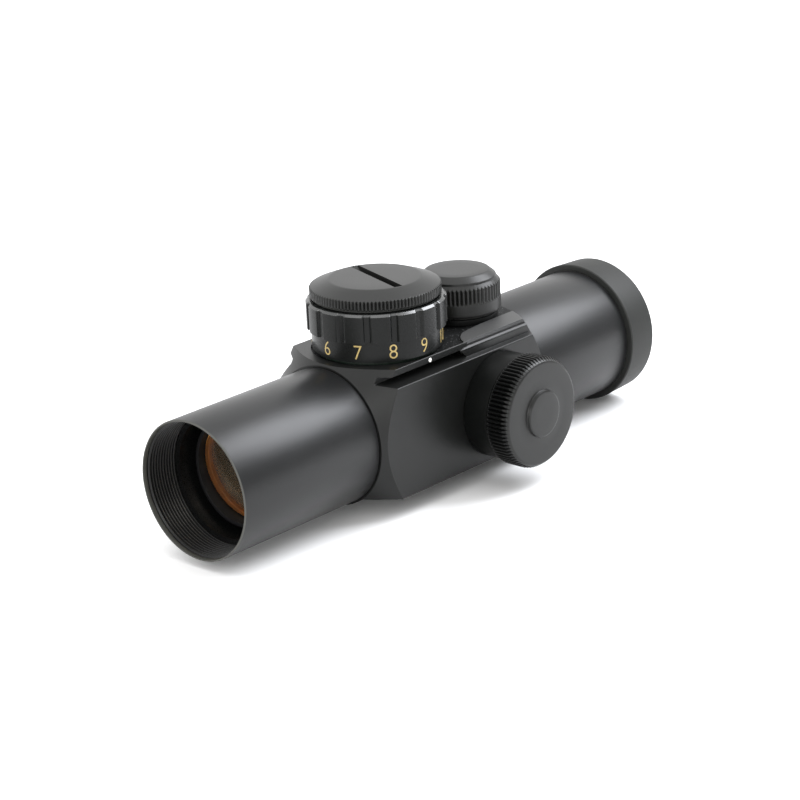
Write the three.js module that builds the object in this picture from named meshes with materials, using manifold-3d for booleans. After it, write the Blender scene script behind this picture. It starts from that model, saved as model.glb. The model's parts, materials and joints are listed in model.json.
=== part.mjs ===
// Tube-type red dot finder, 30 mm body tube. Units: millimetres, +Z up.
// Origin: on the optical axis, midway between the two ring seats at the middle of the saddle.
// +Y runs from the objective end to the eyepiece end, +X points out of the windage turret.
import * as THREE from "three";
import { mergeVertices } from "three/addons/utils/BufferGeometryUtils.js";
import Module from "manifold-3d";

const wasm = await Module();
wasm.setup();

// ---------------------------------------------------------------- driving dimensions
const TUBE_R = 15.0; // 30 mm tube
const BORE_R = 13.2; // bore of both tubes
const SPIGOT_R = 14.1; // spigots that enter the saddle
const COUNTERBORE_R = 14.4; // saddle counterbores for the spigots
const SADDLE_BORE_R = 13.4;
const Y_RIM = -66.8; // objective rim
const Y_MOUTH = -58.0; // end of the threaded mouth
const MOUTH_R = 14.2;
const Y_SADDLE_FRONT = -27.28;
const Y_SADDLE_REAR = 27.3;
const Y_RING = 58.9; // front face of the rubber eyepiece ring
const Y_END = 67.86; // rear end
const JOINT_GAP = 0.15;
const SPIGOT_LEN = 4.95;

const PLATE_Z = 15.8; // top plate of the saddle
const PLATE_X = 14.8; // half width of the plate
const SIDE_X = 16.4; // half width of the saddle
const UNDER_Z = -12.5; // flat shoulders under the saddle
const BELLY_R = 15.46;
const POCKET_Z = 15.3; // floor of the shallow pocket in the plate
const POCKET_SIDE_X = 14.45; // the pocket leaves a thin rim along the plate's edges beside the dial

const DIAL_Y = -10.2; // brightness dial axis
const DIAL_POCKET_R = 14.45;
const DIAL_BAND_R = 14.14;
const DIAL_PAD_R = 15.1;
const DIAL_PADS = 16;
const DIAL_GROOVE_ANGLE = -33; // degrees, centre of one grip groove seen from above
const DIAL_GROOVE_W = 1.8;
const SLOT_ANGLE = -18.8; // coin slot direction, degrees
const SLOT_W = 1.9;
const SLOT_DEPTH = 2.1;
const SLOT_HALF = 10.1;

const ELEV_Y = 16.6; // elevation turret axis
const WIND_Y = 9.6; // windage turret axis

const TILT = (5.55 * Math.PI) / 180; // objective lens tilt about X
const LENS_Y = -51.8;
const LENS_R = 10.6;
const GIMBAL_Y = -46.8;
const ERECTOR_R = 11.7; // outside of the inner tube
const ERECTOR_BORE = 10.9;

// ---------------------------------------------------------------- materials
const mat = (color, roughness, metalness) =>
  new THREE.MeshStandardMaterial({ color, roughness, metalness });
const ANODISED = mat(0x1c1d1d, 0.5, 0.5);
const ANODISED_SATIN = mat(0x232424, 0.42, 0.6);
const DIAL_BLACK = mat(0x151616, 0.35, 0.1);
const RUBBER = mat(0x0d0d0d, 0.9, 0.0);
const PLASTIC = mat(0x101010, 0.6, 0.0);
const BRASS = mat(0xb08d4a, 0.35, 1.0);
const STEEL = mat(0xb8babd, 0.3, 1.0);
const CELL_STEEL = mat(0xc9cbcd, 0.25, 1.0);
const BOARD = mat(0x1f4a2c, 0.55, 0.0);
const GLASS = mat(0xdcefe6, 0.05, 0.0);
const GLASS_AMBER = mat(0xe0a050, 0.05, 0.0);
const LED_RED = mat(0xc01818, 0.2, 0.0);
const WIRE = mat(0xa01c1c, 0.6, 0.0);

// ---------------------------------------------------------------- helpers
// A closed three.js geometry as a solid.
function solid(geometry) {
  const g = geometry.clone();
  for (const name of ["normal", "uv"]) if (g.getAttribute(name)) g.deleteAttribute(name);
  const m = mergeVertices(g, 1e-4);
  const src = m.index.array;
  const tri = [];
  for (let i = 0; i < src.length; i += 3) {
    const [a, b, c] = [src[i], src[i + 1], src[i + 2]];
    if (a !== b && b !== c && a !== c) tri.push(a, b, c);
  }
  const make = (t) =>
    new wasm.Manifold(
      new wasm.Mesh({
        numProp: 3,
        vertProperties: new Float32Array(m.attributes.position.array),
        triVerts: new Uint32Array(t),
      }),
    );
  let s = make(tri);
  if (s.volume() < 0) {
    for (let i = 0; i < tri.length; i += 3) [tri[i + 1], tri[i + 2]] = [tri[i + 2], tri[i + 1]];
    s = make(tri);
  }
  return s;
}
// A solid back to a three.js geometry.
function geometryOf(s) {
  const m = s.getMesh();
  const n = m.numProp;
  const v = new Float32Array(m.numVert * 3);
  for (let i = 0; i < m.numVert; i++) v.set(m.vertProperties.subarray(i * n, i * n + 3), i * 3);
  const g = new THREE.BufferGeometry();
  g.setAttribute("position", new THREE.BufferAttribute(v, 3));
  g.setIndex(new THREE.BufferAttribute(new Uint32Array(m.triVerts), 1));
  g.computeVertexNormals();
  return g;
}
// Body turned about Y. The profile is [radius, y] pairs: it starts and ends on the axis, or it is closed here.
function turnedY(profile, segments = 36) {
  const p = profile.map(([r, h]) => new THREE.Vector2(r, h));
  if (profile[0][0] > 0 || profile[profile.length - 1][0] > 0) p.push(p[0].clone());
  return new THREE.LatheGeometry(p, segments);
}
// The same about Z: [radius, z] pairs.
const turnedZ = (profile, segments = 36) => turnedY(profile, segments).rotateX(Math.PI / 2);
// Plain cylinder along Z between two heights.
const rodZ = (r, z0, z1, segments = 20) =>
  new THREE.CylinderGeometry(r, r, z1 - z0, segments).rotateX(Math.PI / 2).translate(0, 0, (z0 + z1) / 2);
const rodY = (r, y0, y1, segments = 24) =>
  new THREE.CylinderGeometry(r, r, y1 - y0, segments).translate(0, (y0 + y1) / 2, 0);
const rodX = (r, x0, x1, segments = 24) =>
  new THREE.CylinderGeometry(r, r, x1 - x0, segments).rotateZ(-Math.PI / 2).translate((x0 + x1) / 2, 0, 0);
const block = (x0, x1, y0, y1, z0, z1) =>
  new THREE.BoxGeometry(x1 - x0, y1 - y0, z1 - z0).translate((x0 + x1) / 2, (y0 + y1) / 2, (z0 + z1) / 2);
// Outline in XY extruded between two heights.
function prismZ(points, z0, z1, holes = []) {
  const shape = new THREE.Shape(points.map(([x, y]) => new THREE.Vector2(x, y)));
  for (const h of holes) shape.holes.push(new THREE.Path(h.map(([x, y]) => new THREE.Vector2(x, y))));
  return new THREE.ExtrudeGeometry(shape, { depth: z1 - z0, bevelEnabled: false, steps: 1 }).translate(0, 0, z0);
}
const circle = (r, n, cx = 0, cy = 0) =>
  Array.from({ length: n }, (_, i) => {
    const a = (2 * Math.PI * i) / n;
    return [cx + r * Math.cos(a), cy + r * Math.sin(a)];
  });
// O-ring of round section about Y or Z.
const ringSection = (r, s, h, n = 8) =>
  Array.from({ length: n }, (_, i) => {
    const a = (2 * Math.PI * i) / n;
    return [r + s * Math.cos(a), h + s * Math.sin(a)];
  });
// Small compression spring along Z: open helix of round wire.
function springZ(radius, wire, z0, z1, turns) {
  class Helix extends THREE.Curve {
    getPoint(t, target = new THREE.Vector3()) {
      const a = 2 * Math.PI * turns * t;
      return target.set(radius * Math.cos(a), radius * Math.sin(a), z0 + wire + (z1 - z0 - 2 * wire) * t);
    }
  }
  const section = new THREE.Shape(circle(wire, 4).map(([x, y]) => new THREE.Vector2(x, y)));
  return new THREE.ExtrudeGeometry(section, {
    steps: Math.round(turns * 8),
    bevelEnabled: false,
    extrudePath: new Helix(),
  });
}

const group = new THREE.Group();
function piece(parent, name, s, material, place) {
  const geometry = s instanceof THREE.BufferGeometry ? geometryOf(solid(s)) : geometryOf(s);
  const mesh = new THREE.Mesh(geometry, material);
  mesh.name = name;
  if (place) place(mesh);
  parent.add(mesh);
  return mesh;
}
function frameAt(x, y, z) {
  const g = new THREE.Group();
  g.position.set(x, y, z);
  group.add(g);
  return g;
}

// ---------------------------------------------------------------- body tubes
// Objective tube with its threaded mouth; two blind holes take the gimbal pins.
const objectiveTube = solid(
  turnedY([
    [14.75, Y_RIM],
    [TUBE_R, Y_RIM + 0.25],
    [TUBE_R, Y_SADDLE_FRONT - JOINT_GAP],
    [SPIGOT_R, Y_SADDLE_FRONT - JOINT_GAP],
    [SPIGOT_R, Y_SADDLE_FRONT - JOINT_GAP + SPIGOT_LEN],
    [BORE_R, Y_SADDLE_FRONT - JOINT_GAP + SPIGOT_LEN],
    [BORE_R, Y_MOUTH],
    [MOUTH_R, Y_MOUTH],
    [MOUTH_R, Y_RIM + 0.25],
    [14.45, Y_RIM],
  ]),
)
  .subtract(solid(rodX(0.8, 13.0, 14.3, 12).translate(0, GIMBAL_Y, 0)))
  .subtract(solid(rodX(0.8, -14.3, -13.0, 12).translate(0, GIMBAL_Y, 0)));
piece(group, "objective_tube", objectiveTube, ANODISED);

// Eyepiece tube: front spigot, rear neck for the rubber ring, seat for the window.
piece(
  group,
  "eyepiece_tube",
  turnedY([
    [BORE_R, Y_SADDLE_REAR + JOINT_GAP - SPIGOT_LEN],
    [SPIGOT_R, Y_SADDLE_REAR + JOINT_GAP - SPIGOT_LEN],
    [SPIGOT_R, Y_SADDLE_REAR + JOINT_GAP],
    [TUBE_R, Y_SADDLE_REAR + JOINT_GAP],
    [TUBE_R, Y_RING - 0.05],
    [14.4, Y_RING - 0.05],
    [14.4, 66.4],
    [13.8, 66.4],
    [13.8, 59.6],
    [BORE_R, 59.6],
  ]),
  ANODISED,
);
piece(
  group,
  "eyepiece_ring",
  turnedY([
    [14.7, Y_RING],
    [16.3, Y_RING],
    [16.47, Y_RING + 0.2],
    [16.07, 67.5],
    [15.7, Y_END],
    [13.6, Y_END],
    [13.6, 66.7],
    [14.7, 66.7],
  ]),
  RUBBER,
);
piece(group, "eyepiece_window", rodY(13.5, 60.5, 62.5, 36), GLASS);
piece(group, "window_seal", turnedY(ringSection(13.35, 0.33, 60.05, 4), 24), RUBBER);
piece(
  group,
  "window_retainer",
  solid(turnedY([[12.4, 62.75], [13.5, 62.75], [13.5, 64.7], [12.4, 64.7]]))
    .subtract(solid(block(-14, 14, 63.7, 65, -0.6, 0.6))),
  ANODISED,
);
piece(group, "front_joint_seal", turnedY(ringSection(13.85, 0.35, -21.95, 4), 24), RUBBER);
piece(group, "rear_joint_seal", turnedY(ringSection(13.85, 0.35, 21.95, 4), 24), RUBBER);

// ---------------------------------------------------------------- saddle housing
// Cross-section in XZ, extruded along Y. The left and right edges of the plate differ:
// the right one has a square groove, the left one a notch and a slope.
const saddleOutline = [];
saddleOutline.push([-PLATE_X, PLATE_Z], [-PLATE_X, 14.3], [-12.2, 14.0], [-12.2, 13.1], [-SIDE_X, 8.9], [-SIDE_X, UNDER_Z]);
const bellyX = Math.sqrt(BELLY_R * BELLY_R - UNDER_Z * UNDER_Z);
const bellyA0 = Math.atan2(UNDER_Z, -bellyX);
const bellyA1 = Math.atan2(UNDER_Z, bellyX);
for (let i = 0; i <= 10; i++) {
  const a = bellyA0 + ((bellyA1 - bellyA0) * i) / 10;
  saddleOutline.push([BELLY_R * Math.cos(a), BELLY_R * Math.sin(a)]);
}
saddleOutline.push([SIDE_X, UNDER_Z], [SIDE_X, 12.25], [12.0, 13.0], [12.0, 14.4], [PLATE_X, 14.4], [PLATE_X, PLATE_Z]);
const saddleShape = new THREE.Shape(saddleOutline.map(([x, z]) => new THREE.Vector2(x, z)));
const saddlePrism = new THREE.ExtrudeGeometry(saddleShape, { depth: 56, bevelEnabled: false, steps: 1 })
  .rotateX(Math.PI / 2) // depth now runs along -Y, the outline's second coordinate along +Z
  .translate(0, 28, 0);
// 45 degree turned ends
const saddleSpindle = turnedY(
  [
    [0, Y_SADDLE_FRONT],
    [15.46, Y_SADDLE_FRONT],
    [24, Y_SADDLE_FRONT + 8.54],
    [24, Y_SADDLE_REAR - 8.5],
    [15.5, Y_SADDLE_REAR],
    [0, Y_SADDLE_REAR],
  ],
  40,
);
const bodyBore = turnedY(
  [
    [0, -29],
    [COUNTERBORE_R, -29],
    [COUNTERBORE_R, -21.5],
    [SADDLE_BORE_R, -21.5],
    [SADDLE_BORE_R, 21.5],
    [COUNTERBORE_R, 21.5],
    [COUNTERBORE_R, 29],
    [0, 29],
  ],
  36,
);
// Behind the dial the groove under the plate's right edge is closed by a wall with a bevelled rib.
const ribShape = new THREE.Shape(
  [[11.9, 12.7], [15.0, 12.4], [14.98, 14.15], [15.08, 14.25], [15.08, 14.4], [14.72, 14.76], [14.7, 15.0], [11.9, 15.0]].map(
    ([x, z]) => new THREE.Vector2(x, z),
  ),
);
const rib = new THREE.ExtrudeGeometry(ribShape, { depth: 26.7, bevelEnabled: false, steps: 1 })
  .rotateX(Math.PI / 2)
  .translate(0, 28, 0);
let saddle = solid(saddlePrism).add(solid(rib)).intersect(solid(saddleSpindle)).subtract(solid(bodyBore));
// Shallow pocket: round in front of the dial, straight beside it, then drawn in past two rounded
// noses to a narrower channel about the elevation turret, open to the rear.
const pocketSide = [
  [POCKET_SIDE_X, 1.3],
  [13.2, 2.1],
  [11.8, 3.3],
  [11.0, 4.3],
  [10.1, 5.8],
  [9.7, 7.2],
  [9.3, 10.3],
  [9.0, 14.1],
  [8.9, 18.6],
  [8.9, 29],
];
const pocketOutline = [];
for (let i = 0; i <= 20; i++) {
  const a = Math.PI + (Math.PI * i) / 20;
  pocketOutline.push([DIAL_POCKET_R * Math.cos(a), DIAL_Y + DIAL_POCKET_R * Math.sin(a)]);
}
pocketOutline.push(...pocketSide, ...pocketSide.map(([x, y]) => [-x, y]).reverse());
saddle = saddle.subtract(solid(prismZ(pocketOutline, POCKET_Z, 17)));
saddle = saddle
  .subtract(solid(rodZ(5.8, 11, 16, 24).translate(0, ELEV_Y, 0)))
  .subtract(solid(rodX(6.8, 11, 17, 24).translate(0, WIND_Y, 0)))
  .subtract(solid(rodZ(1.5, 12, 16, 12).translate(0, -3.2, 0)))
  .subtract(solid(rodZ(1.3, 12.9, 16, 12).translate(-7.5, DIAL_Y, 0)))
  .subtract(solid(rodZ(1.3, 12.9, 16, 12).translate(7.5, DIAL_Y, 0)));
piece(group, "saddle_housing", saddle, ANODISED);

// Bowed leaf spring that pushes the inner tube up and to the right, against both plungers.
const leafUpper = [];
const leafLower = [];
for (let i = 0; i <= 12; i++) {
  const y = -2 + (22 * i) / 12;
  const r = 12.85 - 0.8 * Math.sin((Math.PI * i) / 12);
  leafUpper.push([y, r]);
  leafLower.unshift([y, r + 0.25]);
}
// The outline is drawn in (y, r) and turned so that r points down and to the left.
const S = Math.SQRT1_2;
const leafBasis = new THREE.Matrix4().makeBasis(
  new THREE.Vector3(0, 1, 0),
  new THREE.Vector3(-S, 0, -S),
  new THREE.Vector3(-S, 0, S),
);
piece(group, "return_spring", prismZ([...leafUpper, ...leafLower], -2, 2).applyMatrix4(leafBasis), STEEL);

// ---------------------------------------------------------------- gimbal and inner tube
piece(
  group,
  "gimbal_ring",
  solid(
    turnedY([
      [12.1, GIMBAL_Y - 1.5],
      [12.9, GIMBAL_Y - 1.5],
      [12.9, GIMBAL_Y + 1.5],
      [12.1, GIMBAL_Y + 1.5],
    ]),
  )
    .subtract(solid(rodX(0.8, -14, 14, 12).translate(0, GIMBAL_Y, 0)))
    .subtract(solid(rodZ(0.8, -14, 14, 12).translate(0, GIMBAL_Y, 0))),
  ANODISED_SATIN,
);
piece(group, "gimbal_pin_right", rodX(0.5, 12.2, 14.0, 12).translate(0, GIMBAL_Y, 0), STEEL);
piece(group, "gimbal_pin_left", rodX(0.5, -14.0, -12.2, 12).translate(0, GIMBAL_Y, 0), STEEL);
piece(group, "gimbal_pin_top", rodZ(0.5, 11.1, 12.7, 12).translate(0, GIMBAL_Y, 0), STEEL);
piece(group, "gimbal_pin_bottom", rodZ(0.5, -12.7, -11.1, 12).translate(0, GIMBAL_Y, 0), STEEL);

piece(
  group,
  "inner_tube",
  solid(
    turnedY([
      [ERECTOR_BORE, -54.8],
      [ERECTOR_R, -54.8],
      [ERECTOR_R, 21.2],
      [ERECTOR_BORE, 21.2],
    ]),
  )
    .subtract(solid(rodZ(0.8, -14, 14, 12).translate(0, GIMBAL_Y, 0)))
    .subtract(solid(rodZ(1.6, 9, 14, 12).translate(0, -3.2, 0))),
  ANODISED,
);

// Cemented doublet, tilted so that it sends the diode's light back along the axis.
const steps = [0, 4.5, 8, LENS_R];
const sag = (vertex, edge) => (r) => vertex + (edge - vertex) * (r / LENS_R) ** 2;
const front = sag(-2.0, -1.4);
const middle = sag(0.6, -0.3);
const rear = sag(1.6, 1.4);
const lensProfile = (a, b) => [...steps.map((r) => [r, a(r)]), ...[...steps].reverse().map((r) => [r, b(r)])];
const lensCell = frameAt(0, LENS_Y, 0);
lensCell.rotation.x = TILT;
piece(lensCell, "lens_front_element", turnedY(lensProfile(front, (r) => middle(r) - 0.04), 28), GLASS_AMBER);
piece(lensCell, "lens_rear_element", turnedY(lensProfile((r) => middle(r) + 0.04, rear), 28), GLASS);
piece(lensCell, "lens_seat_ring", turnedY([[9.7, 1.75], [10.5, 1.75], [10.5, 2.9], [9.7, 2.9]], 28), ANODISED);

// Diode holder high in the inner tube, with the diode facing the lens.
piece(group, "led_holder", block(-2.4, 2.4, -11.8, -6.8, 7.2, 10.2), PLASTIC);
piece(group, "led_emitter", rodY(0.9, -13.2, -12.0, 16).translate(0, 0, 8.5), LED_RED);
const leadCurve = new THREE.CatmullRomCurve3([
  new THREE.Vector3(0, -6.35, 8.6),
  new THREE.Vector3(0, -5.2, 8.6),
  new THREE.Vector3(0, -3.6, 9.3),
  new THREE.Vector3(0, -3.2, 10.8),
  new THREE.Vector3(0, -3.2, 13.0),
  new THREE.Vector3(0, -3.2, 15.15),
]);
piece(
  group,
  "led_lead",
  new THREE.ExtrudeGeometry(new THREE.Shape(circle(0.35, 6).map(([x, y]) => new THREE.Vector2(x, y))), {
    steps: 10,
    bevelEnabled: false,
    extrudePath: leadCurve,
  }),
  WIRE,
);

// ---------------------------------------------------------------- brightness dial and battery
const dial = frameAt(0, DIAL_Y, 0);
piece(
  dial,
  "switch_board",
  solid(turnedZ([[5.4, 15.4], [13.2, 15.4], [13.2, 16.2], [5.4, 16.2]], 28))
    .subtract(solid(rodZ(1.3, 15, 17, 12).translate(-7.5, 0, 0)))
    .subtract(solid(rodZ(1.3, 15, 17, 12).translate(7.5, 0, 0))),
  BOARD,
);
piece(
  dial,
  "dial_hub",
  solid(
    turnedZ([
      [0, 15.4],
      [5.1, 15.4],
      [5.1, 16.35],
      [11.3, 16.35],
      [11.3, 19.9],
      [10.55, 19.9],
      [10.55, 20.8],
      [11.3, 20.8],
      [11.3, 24.4],
      [10.3, 24.4],
      [10.3, 22.0],
      [0, 22.0],
    ]),
  )
    .subtract(solid(rodZ(1.3, 16, 20.5, 12).translate(-7.5, 0, 0)))
    .subtract(solid(rodZ(1.3, 16, 20.5, 12).translate(7.5, 0, 0)))
    .subtract(solid(rodZ(2.2, 20.1, 23, 20).translate(-7.5, 0, 0)))
    .subtract(solid(rodZ(2.2, 20.1, 23, 20).translate(7.5, 0, 0)))
    .subtract(solid(rodY(0.9, 6.0, 12.0, 12).translate(0, 0, 18.2))),
  PLASTIC,
);
for (const [name, x] of [["hub_screw_left", -7.5], ["hub_screw_right", 7.5]])
  piece(
    dial,
    name,
    solid(turnedZ([[0, 13.2], [1.0, 13.2], [1.0, 20.2], [1.9, 20.4], [1.9, 21.6], [0, 21.6]], 16)).subtract(
      solid(block(-2.5, 2.5, -0.3, 0.3, 21.0, 22)),
    ),
    STEEL,
    (m) => m.position.set(x, 0, 0),
  );
piece(dial, "negative_contact", turnedZ([[0, 22.1], [4.8, 22.1], [4.8, 22.25], [1.5, 22.4], [0, 22.4]], 24), BRASS);
piece(dial, "dial_seal", turnedZ(ringSection(10.98, 0.28, 20.35, 4), 24), RUBBER);
piece(dial, "dial_detent_ball", new THREE.SphereGeometry(0.7, 10, 6).translate(0, 10.55, 18.2), STEEL);
piece(dial, "dial_detent_spring", springZ(0.55, 0.12, 6.25, 9.65, 4), STEEL, (m) => {
  m.rotation.x = -Math.PI / 2; // spring axis from Z to Y
  m.position.set(0, 0, 18.2);
});
piece(dial, "coin_cell", turnedZ([[0, 22.5], [9.6, 22.5], [9.6, 22.8], [10.0, 22.9], [10.0, 25.5], [9.8, 25.7], [0, 25.7]], 28), CELL_STEEL);

// Dial ring: smooth numbered band below, grip pads between grooves above.
const padOutline = [];
const grooveHalf = (DIAL_GROOVE_W / 2 / DIAL_PAD_R) * (180 / Math.PI);
for (let k = 0; k < DIAL_PADS; k++) {
  const c = DIAL_GROOVE_ANGLE + (360 / DIAL_PADS) * k;
  const next = c + 360 / DIAL_PADS;
  const at = (r, deg) => padOutline.push([r * Math.cos((deg * Math.PI) / 180), r * Math.sin((deg * Math.PI) / 180)]);
  at(14.2, c + grooveHalf * 0.75);
  for (let i = 0; i <= 2; i++) at(DIAL_PAD_R, c + grooveHalf + ((next - grooveHalf - (c + grooveHalf)) * i) / 2);
  at(14.2, next - grooveHalf * 0.75);
}
const pads = solid(prismZ(padOutline, 20.5, 26.9, [circle(13.8, 24)])).intersect(
  solid(turnedZ([[0, 20], [16, 20], [16, 24.9], [14.4, 26.95], [0, 26.95]], 32)),
);
const dialCore = solid(
  turnedZ([
    [13.5, 16.2],
    [DIAL_BAND_R, 16.2],
    [DIAL_BAND_R, 26.9],
    [13.4, 26.9],
    [13.4, 24.8],
    [11.6, 24.8],
    [11.6, 17.8],
    [13.5, 17.8],
  ]),
);
piece(dial, "dial_ring", dialCore.add(pads), DIAL_BLACK);
const sector = [];
for (let i = 0; i <= 5; i++) sector.push([13.25 * Math.cos(i * 0.14 - 2.2), 13.25 * Math.sin(i * 0.14 - 2.2)]);
for (let i = 5; i >= 0; i--) sector.push([11.9 * Math.cos(i * 0.14 - 2.2), 11.9 * Math.sin(i * 0.14 - 2.2)]);
piece(dial, "dial_wiper", prismZ(sector, 16.4, 17.6), BRASS);

// Battery cap with a coin slot cut by a large disc cutter.
const cutterR = (SLOT_HALF * SLOT_HALF + SLOT_DEPTH * SLOT_DEPTH) / (2 * SLOT_DEPTH);
const cutter = new THREE.CylinderGeometry(cutterR, cutterR, SLOT_W, 96)
  .translate(0, 0, 31.0 + cutterR - SLOT_DEPTH)
  .rotateZ((SLOT_ANGLE * Math.PI) / 180)
  .translate(0.1, 0.3, 0);
piece(
  dial,
  "battery_cap",
  solid(
    turnedZ([
      [0, 27.6],
      [11.9, 27.6],
      [11.9, 25.2],
      [13.1, 25.2],
      [13.1, 27.5],
      [14.2, 27.5],
      [14.2, 29.4],
      [9.85, 31.0],
      [0, 31.0],
    ]),
  ).subtract(solid(cutter)),
  ANODISED_SATIN,
);
piece(dial, "battery_cap_seal", turnedZ([[13.25, 27.0], [13.85, 27.0], [13.85, 27.4], [13.25, 27.4]], 24), RUBBER);
piece(dial, "battery_contact", turnedZ([[0, 26.0], [1.6, 26.0], [5.0, 26.9], [8.0, 26.9], [8.0, 27.3], [0, 27.3]], 24), BRASS);

// ---------------------------------------------------------------- turrets
// Both turrets are drawn on their own axis, +Z outwards; heights are distances from the optical axis.
function turret(frame, prefix, d) {
  piece(
    frame,
    prefix + "_base",
    solid(turnedZ(d.base, 28)).subtract(solid(rodZ(0.75, d.click - 2.9, d.click + 0.5, 12).translate(0, 4.9, 0))),
    ANODISED,
  );
  piece(
    frame,
    prefix + "_screw",
    solid(
      turnedZ(
        [[0, 20], [1.9, 20], [1.9, 14.8], [3.0, 14.8], [3.0, d.head], [6.2, d.head], [6.2, d.head + 1.6], [0, d.head + 1.6]],
        24,
      ),
    ).subtract(solid(block(-7, 7, -0.6, 0.6, d.head + 0.7, d.head + 2))),
    BRASS,
  );
  piece(frame, prefix + "_plunger", turnedZ([[0, 12.0], [0.8, 12.12], [1.4, 12.6], [1.6, 13.2], [1.6, 18.0], [0, 18.0]], 16), STEEL);
  piece(frame, prefix + "_click_ball", new THREE.SphereGeometry(0.6, 10, 6).translate(0, 4.9, d.click - 0.5), STEEL);
  piece(frame, prefix + "_click_spring", springZ(0.42, 0.1, d.click - 2.6, d.click - 1.3, 3), STEEL, (m) =>
    m.position.set(0, 4.9, 0),
  );
  piece(frame, prefix + "_cap", turnedZ(d.cap, 36), ANODISED_SATIN);
  piece(frame, prefix + "_cap_seal", turnedZ(d.seal, 24), RUBBER);
  piece(frame, prefix + "_cap_gasket", rodZ(d.gasket[0], d.gasket[1], d.gasket[2], 24), RUBBER);
}
turret(frameAt(0, ELEV_Y, 0), "elevation", {
  base: [
    [3.3, 14.4],
    [5.5, 14.4],
    [5.5, 15.4],
    [8.7, 15.4],
    [8.7, 16.7],
    [7.8, 16.7],
    [7.8, 22.4],
    [3.3, 22.4],
  ],
  click: 22.4,
  head: 22.7,
  cap: [
    [0, 24.9],
    [7.4, 24.9],
    [7.4, 22.8],
    [8.3, 22.8],
    [8.3, 17.35],
    [9.4, 17.35],
    [9.6, 17.6],
    [9.5, 20.3],
    [9.45, 23.45],
    [8.6, 24.45],
    [8.6, 24.9],
    [7.1, 26.15],
    [0, 26.15],
  ],
  seal: [
    [7.95, 16.78],
    [8.6, 16.78],
    [8.6, 17.25],
    [7.95, 17.25],
  ],
  gasket: [7.2, 24.4, 24.8],
});
const windage = frameAt(0, WIND_Y, 0);
windage.rotation.y = Math.PI / 2;
turret(windage, "windage", {
  base: [
    [3.3, 13.9],
    [6.5, 13.9],
    [6.5, 16.5],
    [11.7, 16.5],
    [11.7, 22.8],
    [9.2, 22.8],
    [9.2, 25.0],
    [6.6, 25.0],
    [6.6, 23.3],
    [3.3, 23.3],
  ],
  click: 23.3,
  head: 23.6,
  cap: [
    [0, 27.0],
    [9.75, 27.0],
    [9.75, 23.3],
    [12.3, 23.3],
    [12.3, 27.6],
    [11.4, 28.8],
    [5.2, 28.8],
    [5.2, 29.6],
    [0, 29.6],
  ],
  seal: [
    [9.5, 22.9],
    [11.5, 22.9],
    [11.5, 23.2],
    [9.5, 23.2],
  ],
  gasket: [9.3, 26.2, 26.7],
});

export default group;
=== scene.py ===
import json
import math

import bmesh
import bpy
from mathutils import Matrix, Vector

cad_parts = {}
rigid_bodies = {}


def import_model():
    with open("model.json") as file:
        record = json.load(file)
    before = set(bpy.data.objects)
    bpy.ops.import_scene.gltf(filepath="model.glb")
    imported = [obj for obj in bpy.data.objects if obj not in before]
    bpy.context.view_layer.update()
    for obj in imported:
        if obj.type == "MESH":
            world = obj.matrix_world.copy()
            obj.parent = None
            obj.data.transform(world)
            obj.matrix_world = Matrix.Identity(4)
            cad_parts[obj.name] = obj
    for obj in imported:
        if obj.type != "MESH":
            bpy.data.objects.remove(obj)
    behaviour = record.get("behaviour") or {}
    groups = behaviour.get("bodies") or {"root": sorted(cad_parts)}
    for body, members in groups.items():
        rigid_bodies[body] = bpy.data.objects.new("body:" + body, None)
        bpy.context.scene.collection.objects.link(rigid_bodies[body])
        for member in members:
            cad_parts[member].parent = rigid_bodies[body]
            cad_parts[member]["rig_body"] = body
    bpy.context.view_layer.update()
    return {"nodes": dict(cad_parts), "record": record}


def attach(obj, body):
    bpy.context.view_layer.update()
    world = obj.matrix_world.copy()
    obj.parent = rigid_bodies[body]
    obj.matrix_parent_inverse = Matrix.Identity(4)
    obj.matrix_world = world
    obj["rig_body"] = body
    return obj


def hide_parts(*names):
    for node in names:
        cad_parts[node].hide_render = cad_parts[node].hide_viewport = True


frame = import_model()
NODES = frame["nodes"]
MM = 0.001
TAU = 2 * math.pi

# ------------------------------------------------------------------ dimensions, mm, row frame
DIAL_Y, ELEV_Y, WIND_Y = -10.2, 16.6, 9.6
LENS_Y, LENS_R, TILT = -51.8, 10.6, math.radians(5.55)
GIMBAL_Y = -46.8

# ------------------------------------------------------------------ camera
AZ, EL, ROLL = math.radians(42.516), math.radians(19.243), math.radians(-2.629)
back = Vector((math.sin(AZ) * math.cos(EL), -math.cos(AZ) * math.cos(EL), math.sin(EL)))
right = Vector((math.cos(AZ), math.sin(AZ), 0))
up = back.cross(right)
r2 = right * math.cos(ROLL) + up * math.sin(ROLL)
u2 = up * math.cos(ROLL) - right * math.sin(ROLL)
cam_data = bpy.data.cameras.new("camera")
cam_data.sensor_width = 36.0
cam_data.lens = 108.405
cam_data.clip_start, cam_data.clip_end = 0.01, 50
cam = bpy.data.objects.new("camera", cam_data)
bpy.context.scene.collection.objects.link(cam)
m = Matrix((r2, u2, back)).transposed().to_4x4()
m.translation = Vector((0.336371, -0.370915, 0.175009))
cam.matrix_world = m
bpy.context.scene.camera = cam
bpy.context.scene.view_settings.view_transform = "Standard"


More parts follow.
